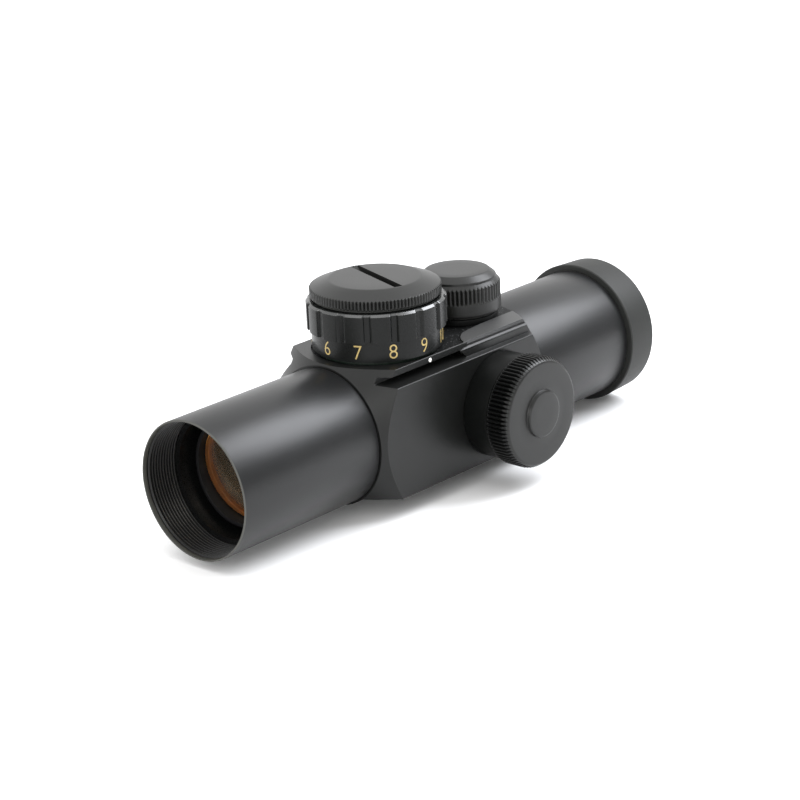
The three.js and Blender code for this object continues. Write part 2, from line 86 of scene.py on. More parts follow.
# ------------------------------------------------------------------ material helpers
class Nodes:
    def __init__(self, name):
        self.mat = bpy.data.materials.new(name)
        self.mat.use_nodes = True
        self.t = self.mat.node_tree
        self.t.nodes.clear()
        self.out = self.t.nodes.new("ShaderNodeOutputMaterial")
        self.co = self.t.nodes.new("ShaderNodeTexCoord").outputs["Object"]

    def link(self, a, b):
        self.t.links.new(a, b)

    def new(self, kind, **values):
        n = self.t.nodes.new(kind)
        for k, v in values.items():
            if isinstance(getattr(type(n), k, None), property) or hasattr(n, k):
                setattr(n, k, v)
        return n

    def noise(self, scale, detail=2.0, rough=0.5, co=None):
        n = self.t.nodes.new("ShaderNodeTexNoise")
        n.inputs["Scale"].default_value = scale
        n.inputs["Detail"].default_value = detail
        n.inputs["Roughness"].default_value = rough
        self.link(co or self.co, n.inputs["Vector"])
        return n.outputs["Fac"]

    def mapping(self, scale=(1, 1, 1), co=None):
        n = self.t.nodes.new("ShaderNodeMapping")
        n.inputs["Scale"].default_value = scale
        self.link(co or self.co, n.inputs["Vector"])
        return n.outputs["Vector"]

    def ramp(self, fac, stops, interpolation="LINEAR"):
        n = self.t.nodes.new("ShaderNodeValToRGB")
        n.color_ramp.interpolation = interpolation
        e = n.color_ramp.elements
        while len(e) > 2:
            e.remove(e[-1])
        while len(e) < len(stops):
            e.new(0.5)
        for el, (p, c) in zip(e, stops):
            el.position = p
            el.color = (*c, 1) if not isinstance(c, (int, float)) else (c, c, c, 1)
        self.link(fac, n.inputs["Fac"])
        return n.outputs["Color"]

    def remap(self, fac, a, b, lo=0.0, hi=1.0):
        n = self.t.nodes.new("ShaderNodeMapRange")
        n.inputs["From Min"].default_value = lo
        n.inputs["From Max"].default_value = hi
        n.inputs["To Min"].default_value = a
        n.inputs["To Max"].default_value = b
        self.link(fac, n.inputs["Value"])
        return n.outputs["Result"]

    def mix(self, fac, a, b, mode="MIX"):
        n = self.t.nodes.new("ShaderNodeMix")
        n.data_type = "RGBA"
        n.blend_type = mode
        if isinstance(fac, float):
            n.inputs[0].default_value = fac
        else:
            self.link(fac, n.inputs[0])
        for s, v in ((6, a), (7, b)):
            if isinstance(v, tuple):
                n.inputs[s].default_value = (*v, 1)
            else:
                self.link(v, n.inputs[s])
        return n.outputs[2]

    def math(self, op, a, b=None):
        n = self.t.nodes.new("ShaderNodeMath")
        n.operation = op
        for i, v in enumerate((a, b)):
            if v is None:
                continue
            if isinstance(v, (int, float)):
                n.inputs[i].default_value = v
            else:
                self.link(v, n.inputs[i])
        return n.outputs[0]

    def bump(self, height, strength, distance_mm, normal=None):
        n = self.t.nodes.new("ShaderNodeBump")
        n.inputs["Strength"].default_value = strength
        n.inputs["Distance"].default_value = distance_mm * MM
        self.link(height, n.inputs["Height"])
        if normal is not None:
            self.link(normal, n.inputs["Normal"])
        return n.outputs["Normal"]

    def edge(self, radius_mm):
        """Rounded-edge normal and a mask that is 1 on sharp edges."""
        b = self.t.nodes.new("ShaderNodeBevel")
        b.samples = 6
        b.inputs["Radius"].default_value = radius_mm * MM
        g = self.t.nodes.new("ShaderNodeNewGeometry")
        d = self.t.nodes.new("ShaderNodeVectorMath")
        d.operation = "DOT_PRODUCT"
        self.link(b.outputs["Normal"], d.inputs[0])
        self.link(g.outputs["Normal"], d.inputs[1])
        mask = self.remap(d.outputs["Value"], 1.0, 0.0, 0.72, 0.995)
        return b.outputs["Normal"], mask

    def shader(self, kind="ShaderNodeBsdfPrincipled"):
        s = self.t.nodes.new(kind)
        self.link(s.outputs[0], self.out.inputs["Surface"])
        return s


def anodised(name, base, rough, grain=0.22, grain_bump=0.12, spec=0.5, edge_mm=0.0, edge_highlight_lift=1.6, mottle=0.10, tint=None, metallic=0.0):
    """Black anodised aluminium: fine blasted grain, slow mottling, and a painted highlight that colours sharp edges a
    little lighter.
    """
    n = Nodes(name)
    fine = n.noise(1000 / grain, 3.0, 0.6)
    micro = n.noise(1000 / (grain * 0.35), 1.0)
    slow = n.noise(1000 / 9.0, 3.0, 0.55)
    lo = tuple(c * (1 - mottle) for c in base)
    hi = tuple(min(1, c * (1 + mottle)) for c in (tint or base))
    colour = n.mix(slow, lo, hi)
    sparkle = n.ramp(micro, [(0.55, 0.0), (0.75, 1.0)])
    colour = n.mix(n.math("MULTIPLY", sparkle, 0.25), colour, tuple(min(1, c * 2.2) for c in base))
    s = n.shader()
    normal = None
    if edge_mm:
        normal, mask = n.edge(edge_mm)
        # painted highlight: sharp edges are coloured lighter
        colour = n.mix(n.math("MULTIPLY", mask, 0.55), colour, tuple(min(1, c * edge_highlight_lift + 0.012) for c in base))
    n.link(colour, s.inputs["Base Color"])
    r = n.remap(fine, rough - 0.06, rough + 0.08)
    r2_ = n.math("ADD", r, n.remap(slow, -0.03, 0.03))
    n.link(r2_, s.inputs["Roughness"])
    s.inputs["Metallic"].default_value = metallic
    s.inputs["Specular IOR Level"].default_value = spec
    nb = n.bump(fine, grain_bump, grain * 0.25, normal)
    nb = n.bump(micro, grain_bump * 0.6, grain * 0.08, nb)
    n.link(nb, s.inputs["Normal"])
    return n.mat


def turned(name, base, rough, axis, centre, pitch=0.12, strength=0.12, spec=0.5, metallic=0.0, edge_mm=0.0):
    """Turned finish: fine concentric tool marks about an axis through centre (mm)."""
    n = Nodes(name)
    sub = n.t.nodes.new("ShaderNodeVectorMath")
    sub.operation = "SUBTRACT"
    n.link(n.co, sub.inputs[0])
    sub.inputs[1].default_value = [c * MM for c in centre]
    flat = n.t.nodes.new("ShaderNodeVectorMath")
    flat.operation = "MULTIPLY"
    n.link(sub.outputs[0], flat.inputs[0])
    flat.inputs[1].default_value = {"X": (0, 1, 1), "Y": (1, 0, 1), "Z": (1, 1, 0)}[axis]
    ln = n.t.nodes.new("ShaderNodeVectorMath")
    ln.operation = "LENGTH"
    n.link(flat.outputs[0], ln.inputs[0])
    radius = ln.outputs["Value"]
    comb = n.t.nodes.new("ShaderNodeCombineXYZ")
    n.link(radius, comb.inputs[0])
    rings = n.noise(1000 / pitch, 2.0, 0.7, comb.outputs[0])
    fine = n.noise(1000 / 0.18, 2.0, 0.6)
    slow = n.noise(1000 / 7.0, 2.0)
    colour = n.mix(slow, tuple(c * 0.9 for c in base), tuple(min(1, c * 1.12) for c in base))
    colour = n.mix(n.math("MULTIPLY", rings, 0.25), colour, tuple(min(1, c * 1.5) for c in base))
    s = n.shader()
    normal = None
    if edge_mm:
        normal, mask = n.edge(edge_mm)
        # painted highlight: sharp edges are coloured lighter
        colour = n.mix(n.math("MULTIPLY", mask, 0.5), colour, tuple(min(1, c * 1.7 + 0.01) for c in base))
    n.link(colour, s.inputs["Base Color"])
    n.link(n.math("ADD", n.remap(fine, rough - 0.05, rough + 0.06), n.remap(rings, -0.04, 0.04)), s.inputs["Roughness"])
    s.inputs["Metallic"].default_value = metallic
    s.inputs["Specular IOR Level"].default_value = spec
    nb = n.bump(rings, strength, pitch * 0.2, normal)
    nb = n.bump(fine, 0.10, 0.03, nb)
    n.link(nb, s.inputs["Normal"])
    return n.mat


def simple(name, base, rough, metallic=0.0, grain=0.3, bump=0.1, spec=0.5, mottle=0.12):
    n = Nodes(name)
    fine = n.noise(1000 / grain, 3.0, 0.6)
    slow = n.noise(1000 / 4.0, 3.0)
    colour = n.mix(slow, tuple(c * (1 - mottle) for c in base), tuple(min(1, c * (1 + mottle)) for c in base))
    s = n.shader()
    n.link(colour, s.inputs["Base Color"])
    n.link(n.remap(fine, max(0.02, rough - 0.06), rough + 0.08), s.inputs["Roughness"])
    s.inputs["Metallic"].default_value = metallic
    s.inputs["Specular IOR Level"].default_value = spec
    n.link(n.bump(fine, bump, grain * 0.2), s.inputs["Normal"])
    return n.mat


def glass(name, tint, coat, coat_amount, rough=0.02):
    """Coated lens: clear glass that reflects in the coating's colour, more at its skin than plain glass does."""
    n = Nodes(name)
    slow = n.noise(1000 / 6.0, 2.0)
    clear = n.t.nodes.new("ShaderNodeBsdfTransparent")
    clear.inputs["Color"].default_value = (*tint, 1)
    gloss = n.t.nodes.new("ShaderNodeBsdfGlossy")
    n.link(n.mix(slow, tuple(c * 0.92 for c in coat), coat), gloss.inputs["Color"])
    gloss.inputs["Roughness"].default_value = rough
    lw = n.t.nodes.new("ShaderNodeFresnel")
    lw.inputs["IOR"].default_value = 1.5
    fac = n.math("ADD", n.remap(slow, coat_amount * 0.95, coat_amount * 1.05), n.math("MULTIPLY", lw.outputs[0], 0.8))
    fac = n.math("MINIMUM", fac, 1.0)
    mixs = n.t.nodes.new("ShaderNodeMixShader")
    n.link(fac, mixs.inputs[0])
    n.link(clear.outputs[0], mixs.inputs[1])
    n.link(gloss.outputs[0], mixs.inputs[2])
    n.link(mixs.outputs[0], n.out.inputs["Surface"])
    return n.mat


def pocket_floor(name, base):
    """Rough floor of the pocket, coloured darker than the plate: coarse grain with a few bright specks painted in as
    glints.
    """
    n = Nodes(name)
    grain = n.noise(1000 / 0.5, 4.0, 0.7)
    fine = n.noise(1000 / 0.16, 2.0, 0.6)
    v = n.t.nodes.new("ShaderNodeTexVoronoi")
    v.inputs["Scale"].default_value = 1000 / 0.42
    n.link(n.co, v.inputs["Vector"])
    sep = n.t.nodes.new("ShaderNodeSeparateColor")
    n.link(v.outputs["Color"], sep.inputs[0])
    few = n.ramp(sep.outputs[0], [(0.70, 0.0), (0.74, 1.0)])
    # painted glints: a few bright specks in the colour
    painted_glint_mask = n.math("MULTIPLY", n.ramp(v.outputs["Distance"], [(0.16, 1.0), (0.26, 0.0)]), few)
    colour = n.mix(grain, tuple(c * 0.7 for c in base), tuple(c * 1.3 for c in base))
    colour = n.mix(n.math("MULTIPLY", painted_glint_mask, 0.9), colour, (0.22, 0.23, 0.23))
    s = n.shader()
    n.link(colour, s.inputs["Base Color"])
    n.link(n.remap(fine, 0.45, 0.75), s.inputs["Roughness"])
    s.inputs["Specular IOR Level"].default_value = 0.15
    nb = n.bump(grain, 0.6, 0.12)
    nb = n.bump(fine, 0.4, 0.04, nb)
    n.link(nb, s.inputs["Normal"])
    return n.mat


BLACK = (0.020, 0.021, 0.020)
M = {
    "tube": anodised("tube_finish", (0.009, 0.0093, 0.0096), 0.35, 0.24, 0.30, 0.34),
    "saddle": anodised("saddle_finish", (0.0055, 0.0058, 0.0055), 0.34, 0.22, 0.16, 0.27, edge_mm=0.12),
    # plate top behind the dial, where the key falls: a lighter copy of the saddle black, painted light
    "plate": anodised("plate_painted_light", (0.030, 0.0305, 0.030), 0.54, 0.24, 0.20, 0.6),
    "turret": anodised("turret_finish", (0.004, 0.0044, 0.0042), 0.40, 0.22, 0.14, 0.2),
    # the windage collar under the cap: a darker copy of the turret black, painted shade
    "collar": anodised("collar_painted_shade", (0.0022, 0.0025, 0.0023), 0.40, 0.22, 0.14, 0.10),
    # the windage cap's knurl coloured darker than the cap: painted shade in the flutes
    "flute": turned("flute_painted_shade", (0.0022, 0.0024, 0.0023), 0.34, "X", (0, WIND_Y, 0), 0.10, 0.08, 0.16),
    "dial": anodised("dial_finish", (0.004, 0.0045, 0.0042), 0.28, 0.30, 0.06, 0.19, mottle=0.06),
    "cap": turned("cap_finish", (0.008, 0.0083, 0.0077), 0.36, "Z", (0, DIAL_Y, 0), 0.10, 0.08, 0.3),
    "elev_cap": turned("elevation_cap_finish", (0.008, 0.0083, 0.0077), 0.36, "Z", (0, ELEV_Y, 0), 0.10, 0.08, 0.3),
    "wind_cap": turned("windage_cap_finish", (0.008, 0.0083, 0.0077), 0.36, "X", (0, WIND_Y, 0), 0.10, 0.08, 0.3),
    "rubber": simple("rubber_finish", (0.013, 0.0137, 0.0125), 0.55, 0.0, 0.30, 0.45, 0.3),
    "inner": simple("inner_finish", (0.0025, 0.0024, 0.0030), 0.55, 0.0, 0.25, 0.2, 0.2),
    # threads and bore inside the mouth, coloured darker than the tube: painted shade
    "thread": turned("thread_painted_shade", (0.0020, 0.0021, 0.0021), 0.28, "Y", (0, 0, 0), 0.12, 0.05, 0.26),
    # thread crests coloured lighter than the tube: painted glints along the thread lines
    "crest": anodised("crest_painted_glint", (0.026, 0.027, 0.024), 0.34, 0.22, 0.10, 0.7),
    # the mouth's front face, coloured lighter than the tube: painted light
    "lip": anodised("lip_painted_light", (0.034, 0.034, 0.029), 0.50, 0.22, 0.20, 0.6),
    # the dial pads' top chamfer coloured lighter than the dial: painted highlight, on a glossier surface
    "bevel": anodised("bevel_painted_highlight", (0.010, 0.011, 0.0105), 0.26, 0.30, 0.03, 0.9),
    "plastic": simple("plastic_finish", (0.016, 0.016, 0.016), 0.5, 0.0, 0.25, 0.15),
    "brass": turned("brass_finish", (0.42, 0.29, 0.11), 0.30, "Z", (0, DIAL_Y, 0), 0.15, 0.2, 0.5, 1.0),
    "steel": simple("steel_finish", (0.30, 0.305, 0.31), 0.28, 1.0, 0.3, 0.1),
    "cell": turned("cell_finish", (0.34, 0.345, 0.35), 0.30, "Z", (0, DIAL_Y, 0), 0.2, 0.15, 0.5, 1.0),
    # board coloured nearly black: painted shade for the gap under the dial where it shows
    "board": simple("board_painted_shade", (0.004, 0.012, 0.007), 0.45, 0.0, 0.6, 0.1),
    "led": simple("led_finish", (0.45, 0.02, 0.02), 0.15, 0.0, 0.5, 0.02),
    "wire": simple("wire_finish", (0.30, 0.02, 0.02), 0.5, 0.0, 0.3, 0.1),
    "lens": glass("lens_coating", (0.62, 0.56, 0.48), (0.92, 0.86, 0.76), 0.34, 0.16),
    "glass": glass("clear_glass_finish", (0.90, 0.94, 0.92), (0.75, 0.85, 1.0), 0.03),
    # the lens rim coloured bright orange: painted reflection of the amber coating
    "lens_edge": simple("lens_edge_painted_reflection", (0.95, 0.46, 0.13), 0.15, 0.0, 0.4, 0.05, 0.9),
    "numeral": simple("numeral_paint", (0.42, 0.31, 0.11), 0.45, 0.0, 0.3, 0.15),
    "dot": simple("index_paint", (0.85, 0.84, 0.80), 0.45, 0.0, 0.3, 0.15),
    "pocket": pocket_floor("pocket_finish", (0.002, 0.0023, 0.0023)),
}


# ------------------------------------------------------------------ mesh helpers
def rounded(points, default=0.10, segments=3, closed=False):
    """Profile with its corners rounded. Points are (r, h) or (r, h, radius); radius 0 keeps the corner sharp."""
    out = []
    n = len(points)
    for i, p in enumerate(points):
        rad = p[2] if len(p) > 2 else default
        if (not closed and i in (0, n - 1)) or rad <= 0 or p[0] <= 1e-9:
            out.append((p[0], p[1]))
            continue
        a, b, c = Vector(points[i - 1][:2]), Vector(p[:2]), Vector(points[(i + 1) % n][:2])
        d1, d2 = (a - b), (c - b)
        l1, l2 = d1.length, d2.length
        if l1 < 1e-6 or l2 < 1e-6:
            out.append((p[0], p[1]))
            continue
        d1 /= l1
        d2 /= l2
        ang = math.acos(max(-1, min(1, d1.dot(d2))))
        if ang > math.pi - 0.05:
            out.append((p[0], p[1]))
            continue
        t = min(rad / math.tan(ang / 2), l1 * 0.45, l2 * 0.45)
        p0, p1 = b + d1 * t, b + d2 * t
        for k in range(segments + 1):
            u = k / segments
            q = p0 * (1 - u) ** 2 + b * 2 * u * (1 - u) + p1 * u * u
            out.append((q.x, q.y))
    return out


AXES = {
    "Y": lambda r, h, a: (r * math.sin(a), h, r * math.cos(a)),
    "Z": lambda r, h, a: (r * math.cos(a), r * math.sin(a), h),
    "X": lambda r, h, a: (h, r * math.cos(a), r * math.sin(a)),
}


def obj_from_bm(bm, name, material, sharp=32.0, recalc=True):
    if recalc:
        bmesh.ops.recalc_face_normals(bm, faces=bm.faces)
    me = bpy.data.meshes.new(name)
    bm.to_mesh(me)
    bm.free()
    me.shade_smooth()
    if sharp:
        me.set_sharp_from_angle(angle=math.radians(sharp))
    o = bpy.data.objects.new(name, me)
    bpy.context.scene.collection.objects.link(o)
    mats = material if isinstance(material, (list, tuple)) else [material]
    for mm in mats:
        me.materials.append(mm)
    return o


def revolve_bm(profile, segments=128, axis="Z", centre=(0, 0, 0), closed=False, fn=None, angles=None, mat_fn=None):
    """Body turned about an axis. fn(angle, row, r, h) may change r and h at a point."""
    bm = bmesh.new()
    angles = angles or [TAU * i / segments for i in range(segments)]
    n = len(angles)
    place = AXES[axis]
    cx, cy, cz = centre
    rings = []
    for k, (r, h) in enumerate(profile):
        if r <= 1e-9:
            x, y, z = place(0, h, 0)
            v = bm.verts.new(((x + cx) * MM, (y + cy) * MM, (z + cz) * MM))
            rings.append([v] * n)
            continue
        ring = []
        for a in angles:
            rr, hh = fn(a, k, r, h) if fn else (r, h)
            x, y, z = place(rr, hh, a)
            ring.append(bm.verts.new(((x + cx) * MM, (y + cy) * MM, (z + cz) * MM)))
        rings.append(ring)
    rows = len(rings)
    for k in range(rows if closed else rows - 1):
        r0, r1 = rings[k], rings[(k + 1) % rows]
        for i in range(n):
            j = (i + 1) % n
            vs = []
            for v in (r0[i], r0[j], r1[j], r1[i]):
                if v not in vs:
                    vs.append(v)
            if len(vs) >= 3:
                f = bm.faces.new(vs)
                if mat_fn:
                    f.material_index = mat_fn(k)
    return bm


def revolve(name, profile, material, segments=128, axis="Z", centre=(0, 0, 0), closed=False, fn=None, angles=None, sharp=32.0, mat_fn=None):
    return obj_from_bm(revolve_bm(profile, segments, axis, centre, closed, fn, angles, mat_fn), name, material, sharp)


def cutter(bm):
    return obj_from_bm(bm, "cutter", M["saddle"], None)


def boolean(o, other, op="DIFFERENCE", drop=True):
    mod = o.modifiers.new("cut", "BOOLEAN")
    mod.operation = op
    mod.solver = "EXACT"
    mod.object = other
    apply(o)
    if drop:
        bpy.data.objects.remove(other)
    return o


def apply(o):
    bpy.context.view_layer.update()
    dg = bpy.context.evaluated_depsgraph_get()
    me = bpy.data.meshes.new_from_object(o.evaluated_get(dg), preserve_all_data_layers=True, depsgraph=dg)
    o.modifiers.clear()
    o.data = me
    return o


def box_bm(x0, x1, y0, y1, z0, z1):
    bm = bmesh.new()
    bmesh.ops.create_cube(bm, size=1)
    for v in bm.verts:
        v.co = Vector((
            (x0 if v.co.x < 0 else x1) * MM, (y0 if v.co.y < 0 else y1) * MM, (z0 if v.co.z < 0 else z1) * MM))
    return bm


def prism_bm(points, a0, a1, axis="Z"):
    """Outline extruded between two positions along an axis; for Y the outline is (x, z)."""
    bm = bmesh.new()
    ends = []
    for a in (a0, a1):
        ring = []
        for p, q in points:
            co = {"Z": (p, q, a), "Y": (p, a, q), "X": (a, p, q)}[axis]
            ring.append(bm.verts.new([c * MM for c in co]))
        ends.append(ring)
    bm.faces.new(ends[0])
    bm.faces.new(ends[1])
    n = len(points)
    for i in range(n):
        j = (i + 1) % n
        bm.faces.new((ends[0][i], ends[0][j], ends[1][j], ends[1][i]))
    bmesh.ops.recalc_face_normals(bm, faces=bm.faces)
    return bm


def outline(points, default=0.2, segments=3):
    """Closed outline with rounded corners, in any plane."""
    shifted = [(p[0] + 1000, p[1], *(p[2:])) for p in points]
    return [(x - 1000, y) for x, y in rounded(shifted, default, segments, closed=True)]


PIECES = []


def keep(piece, node):
    body = NODES[node]["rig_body"]
    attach(piece, body)
    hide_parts(node)
    PIECES.append(piece)
    return piece


# ------------------------------------------------------------------ body tubes
thread = []
pitch, crest, root = 0.75, 14.13, 14.52
h = -65.75
while h < -58.75:
    thread += [(root, h), (root, h + 0.10), (crest, h + pitch * 0.5 - 0.06), (crest, h + pitch * 0.5 + 0.06)]
    h += pitch
h_end = h
prof = rounded([(14.62, -66.8, 0.05), (14.86, -66.8, 0.05), (15.0, -66.62, 0.05), (15.0, -27.43, 0.08), (14.1, -27.43, 0.05), (14.1, -22.48, 0.1), (13.2, -22.48, 0.1), (13.2, -58.0, 0.06), (14.3, -58.0, 0.06), (14.3, h_end + 0.05, 0)], 0.05, 2)
prof += list(reversed(thread)) + [(14.45, -65.95), (14.50, -66.45)]
outer_rows = len(rounded([(14.62, -66.8, 0.05), (14.86, -66.8, 0.05), (15.0, -66.62, 0.05), (15.0, -27.43, 0.08), (14.1, -27.43, 0.05)], 0.05, 2)) - 2


def tube_mat(k):
    (ra, ha), (rb, hb) = prof[k % len(prof)], prof[(k + 1) % len(prof)]
    # the mouth's front face takes the lighter painted-light colour
    if max(ha, hb) < -65.9 and min(ra, rb) < 14.99:
        return 2
    # crest lands take the lighter painted-glint colour
    if ra == crest and rb == crest:
        return 3
    # the inside rows, bore and thread, take the darker painted-shade colour
    return 0 if k < outer_rows + 2 or k >= len(prof) - 1 else 1


o = revolve("objective_tube_shell", prof, [M["tube"], M["thread"], M["lip"], M["crest"]], 224, "Y", closed=True, sharp=25, mat_fn=tube_mat)
keep(o, "objective_tube")

prof = rounded([(13.2, 22.5, 0.1), (14.1, 22.5, 0.1), (14.1, 27.45, 0.03), (15.0, 27.45, 0.08), (15.0, 58.85, 0.08), (14.4, 58.85, 0.03), (14.4, 66.4, 0.1), (13.8, 66.4, 0.1), (13.8, 59.6, 0.03), (13.2, 59.6, 0.05)], 0.05, 3, closed=True)
o = revolve("eyepiece_tube_shell", prof, M["tube"], 224, "Y", closed=True, sharp=25)
keep(o, "eyepiece_tube")

prof = rounded([(14.72, 58.9, 0.1), (16.25, 58.9, 0.18), (16.46, 59.15, 0.15), (16.10, 67.3, 0.3), (15.75, 67.84, 0.25), (13.65, 67.84, 0.25), (13.65, 66.72, 0.15), (14.72, 66.72, 0.05)], 0.1, 4, closed=True)
o = revolve("eyepiece_ring_moulding", prof, M["rubber"], 192, "Y", closed=True, sharp=40)
keep(o, "eyepiece_ring")

prof = rounded([(0, 60.5), (13.3, 60.5, 0), (13.5, 60.7, 0), (13.5, 62.3, 0), (13.3, 62.5, 0), (0, 62.5)], 0)
o = revolve("eyepiece_window_glass", prof, M["glass"], 128, "Y", sharp=20)
keep(o, "eyepiece_window")


def notch(a, k, r, hh):
    d = abs(((a + math.pi / 2) % math.pi) - math.pi / 2)  # distance from +Z and -Z
    d = abs((a % math.pi) - math.pi / 2)
    return (r, min(hh, 63.75)) if d < 0.05 else (r, hh)


prof = rounded([(12.4, 62.78, 0.08), (13.5, 62.78, 0.05), (13.5, 64.7, 0.08), (12.4, 64.7, 0.12)], 0.05, 3, closed=True)
o = revolve("window_retainer_ring", prof, M["inner"], 252, "Y", closed=True, fn=notch, sharp=30)
keep(o, "window_retainer")

# ------------------------------------------------------------------ saddle housing
pts = [(-14.8, 15.8, 0.22), (-14.8, 14.3, 0.15), (-12.2, 14.0, 0.35), (-12.2, 13.1, 0.3), (-16.4, 8.9, 0.5), (-16.4, -12.5, 0.35)]
bx = math.sqrt(15.46 ** 2 - 12.5 ** 2)
a0, a1 = math.atan2(-12.5, -bx), math.atan2(-12.5, bx)
for i in range(25):
    a = a0 + (a1 - a0) * i / 24
    pts.append((15.46 * math.cos(a), 15.46 * math.sin(a), 0))
pts += [(16.4, -12.5, 0.35), (16.4, 12.25, 0.32), (12.05, 13.0, 0.25), (12.05, 14.4, 0.2), (14.8, 14.4, 0.12), (14.8, 15.8, 0.26)]
saddle = obj_from_bm(prism_bm(outline(pts, 0.2, 5), -28, 28, "Y"), "saddle_body", [M["saddle"], M["pocket"]], None)
# behind the dial the groove under the plate's right edge is closed by a wall with a bevelled rib,
# and the plate's edge above it is bevelled over a fine parting line
rib = [(11.9, 12.7), (15.0, 12.4), (14.98, 14.12), (15.08, 14.22), (15.10, 14.38), (14.74, 14.76), (14.70, 15.02), (11.9, 15.02)]
boolean(saddle, cutter(prism_bm(rib, 1.3, 28, "Y")), "UNION")
# and its front end runs out to a point
bm = bmesh.new()
ends = []
for y, keep_x in ((-0.6, 0.04), (1.6, 0.998)):
    ends.append([bm.verts.new(((15.03 + (x - 15.03) * keep_x) * MM, y * MM, (14.40 + (z - 14.40) * keep_x) * MM)) for x, z in rib])
for i in range(len(rib)):
    j = (i + 1) % len(rib)
    bm.faces.new((ends[0][i], ends[0][j], ends[1][j], ends[1][i]))
bm.faces.new(list(reversed(ends[0])))
bm.faces.new(ends[1])
bmesh.ops.recalc_face_normals(bm, faces=bm.faces[:])
boolean(saddle, cutter(bm), "UNION")
over = [(14.42, 15.9), (14.46, 15.79), (14.84, 15.20), (14.83, 15.13), (14.60, 15.06), (14.70, 15.02), (14.74, 14.76), (15.6, 13.9), (15.9, 17.0), (14.42, 17.0)]
boolean(saddle, cutter(prism_bm(over, 1.9, 29, "Y")))
spindle = revolve_bm([(0, -27.28), (15.46, -27.28), (26, -16.74), (26, 16.8), (15.5, 27.3), (0, 27.3)], 256, "Y")
boolean(saddle, cutter(spindle), "INTERSECT")
boolean(saddle, cutter(revolve_bm([(0, -29), (14.4, -29), (14.4, -21.5), (13.4, -21.5), (13.4, 21.5), (14.4, 21.5), (14.4, 29), (0, 29)], 128, "Y")))
# pocket: round in front of the dial, straight beside it, then drawn in past two rounded noses to a channel
def through(points, steps):
    """Smooth line through points (Catmull-Rom)."""
    out = []
    for i in range(len(points) - 1):
        p0, p1, p2, p3 = points[max(i - 1, 0)], points[i], points[i + 1], points[min(i + 2, len(points) - 1)]
        for j in range(steps):
            t = j / steps
            out.append(tuple(0.5 * (2 * p1[c] + (p2[c] - p0[c]) * t + (2 * p0[c] - 5 * p1[c] + 4 * p2[c] - p3[c]) * t * t
                                    + (3 * p1[c] - p0[c] - 3 * p2[c] + p3[c]) * t ** 3) for c in (0, 1)))
    return out + [points[-1]]


POCKET_R = 14.45
nose = [(14.45, -10.2), (14.45, -4.0), (14.45, 0.7)]
nose += through([(14.42, 1.15), (14.05, 1.62), (13.2, 2.1), (11.8, 3.3), (11.0, 4.3), (10.1, 5.8), (9.7, 7.2), (9.3, 10.3), (9.0, 14.1), (8.9, 18.6)], 6)
nose.append((8.9, 30.0))
loop = [(POCKET_R * math.cos(math.pi + math.pi * i / 90), DIAL_Y + POCKET_R * math.sin(math.pi + math.pi * i / 90)) for i in range(90)]
loop += nose + [(-x, y) for x, y in reversed(nose[1:])]
boolean(saddle, cutter(prism_bm(loop, 15.3, 18, "Z")))
boolean(saddle, cutter(revolve_bm([(0, 11), (5.8, 11), (5.8, 17), (0, 17)], 64, "Z", (0, ELEV_Y, 0))))
boolean(saddle, cutter(revolve_bm([(0, 11), (6.8, 11), (6.8, 18), (0, 18)], 64, "X", (0, WIND_Y, 0))))
for x, y, r, z in ((0, -3.2, 1.5, 11), (-7.5, DIAL_Y, 1.3, 12.9), (7.5, DIAL_Y, 1.3, 12.9)):
    boolean(saddle, cutter(revolve_bm([(0, z), (r, z), (r, 17), (0, 17)], 24, "Z", (x, y, 0))))
bm = bmesh.new()
bm.from_mesh(saddle.data)
# the bore's cutter can leave its own end standing ahead of the saddle's front face, where nothing belongs
bmesh.ops.delete(bm, geom=[f for f in bm.faces if any(abs(v.co.y) > 27.35 * MM for v in f.verts)], context="FACES")
bmesh.ops.remove_doubles(bm, verts=bm.verts, dist=0.004 * MM)
bmesh.ops.dissolve_degenerate(bm, edges=bm.edges, dist=0.002 * MM)
# cut across at y=0.9 so the plate's lit part behind can take a lighter, painted-light colour
bmesh.ops.bisect_plane(bm, geom=bm.verts[:] + bm.edges[:] + bm.faces[:], plane_co=Vector((0, 0.9 * MM, 0)), plane_no=Vector((0, 1, 0)), dist=1e-8)
# it also leaves one narrow strip open at the bottom of the front counterbore: close it


def vert_near(x, y, z):
    return min(bm.verts, key=lambda v: (v.co - Vector((x, y, z)) * MM).length)


if sum(1 for e in bm.edges if len(e.link_faces) == 1) == 7:
    strip = [vert_near(*p) for p in ((-0.353, -27.28, -14.391), (-0.379, -27.28, -15.45), (0, -27.28, -15.46), (0, -27.28, -14.4))]
    wall = [strip[3]] + [vert_near(*p) for p in ((0, -21.5, -14.4), (-0.707, -21.5, -14.383), (-0.707, -27.28, -14.383))] + [strip[0]]
    for ring in (strip, wall):
        if len(set(ring)) == len(ring):
            bm.faces.new(ring)
    bmesh.ops.recalc_face_normals(bm, faces=bm.faces[:])
for f in bm.faces:
    c = f.calc_center_median() / MM
    f.material_index = 0
    if f.normal.z > 0.95 and c.z > 15.0:
        # plate top: behind y=0.9, where the key light falls, a lighter painted-light colour; ahead of it, in the dial's
        # shadow, the saddle colour; the lower pocket floor its own finish
        f.material_index = 1 if c.z < 15.5 else (2 if c.y > 0.9 else 0)
    # the vertical facet under the plate's edge takes the darker turret black: painted shade
    elif f.normal.x > 0.95 and 14.5 < c.x < 14.95 and c.z > 14.2:
        f.material_index = 3
me = bpy.data.meshes.new("saddle_body")
bm.to_mesh(me)
bm.free()
for mm in (M["saddle"], M["pocket"], M["plate"], M["turret"]):
    me.materials.append(mm)
me.shade_smooth()
me.set_sharp_from_angle(angle=math.radians(28))
saddle.data = me
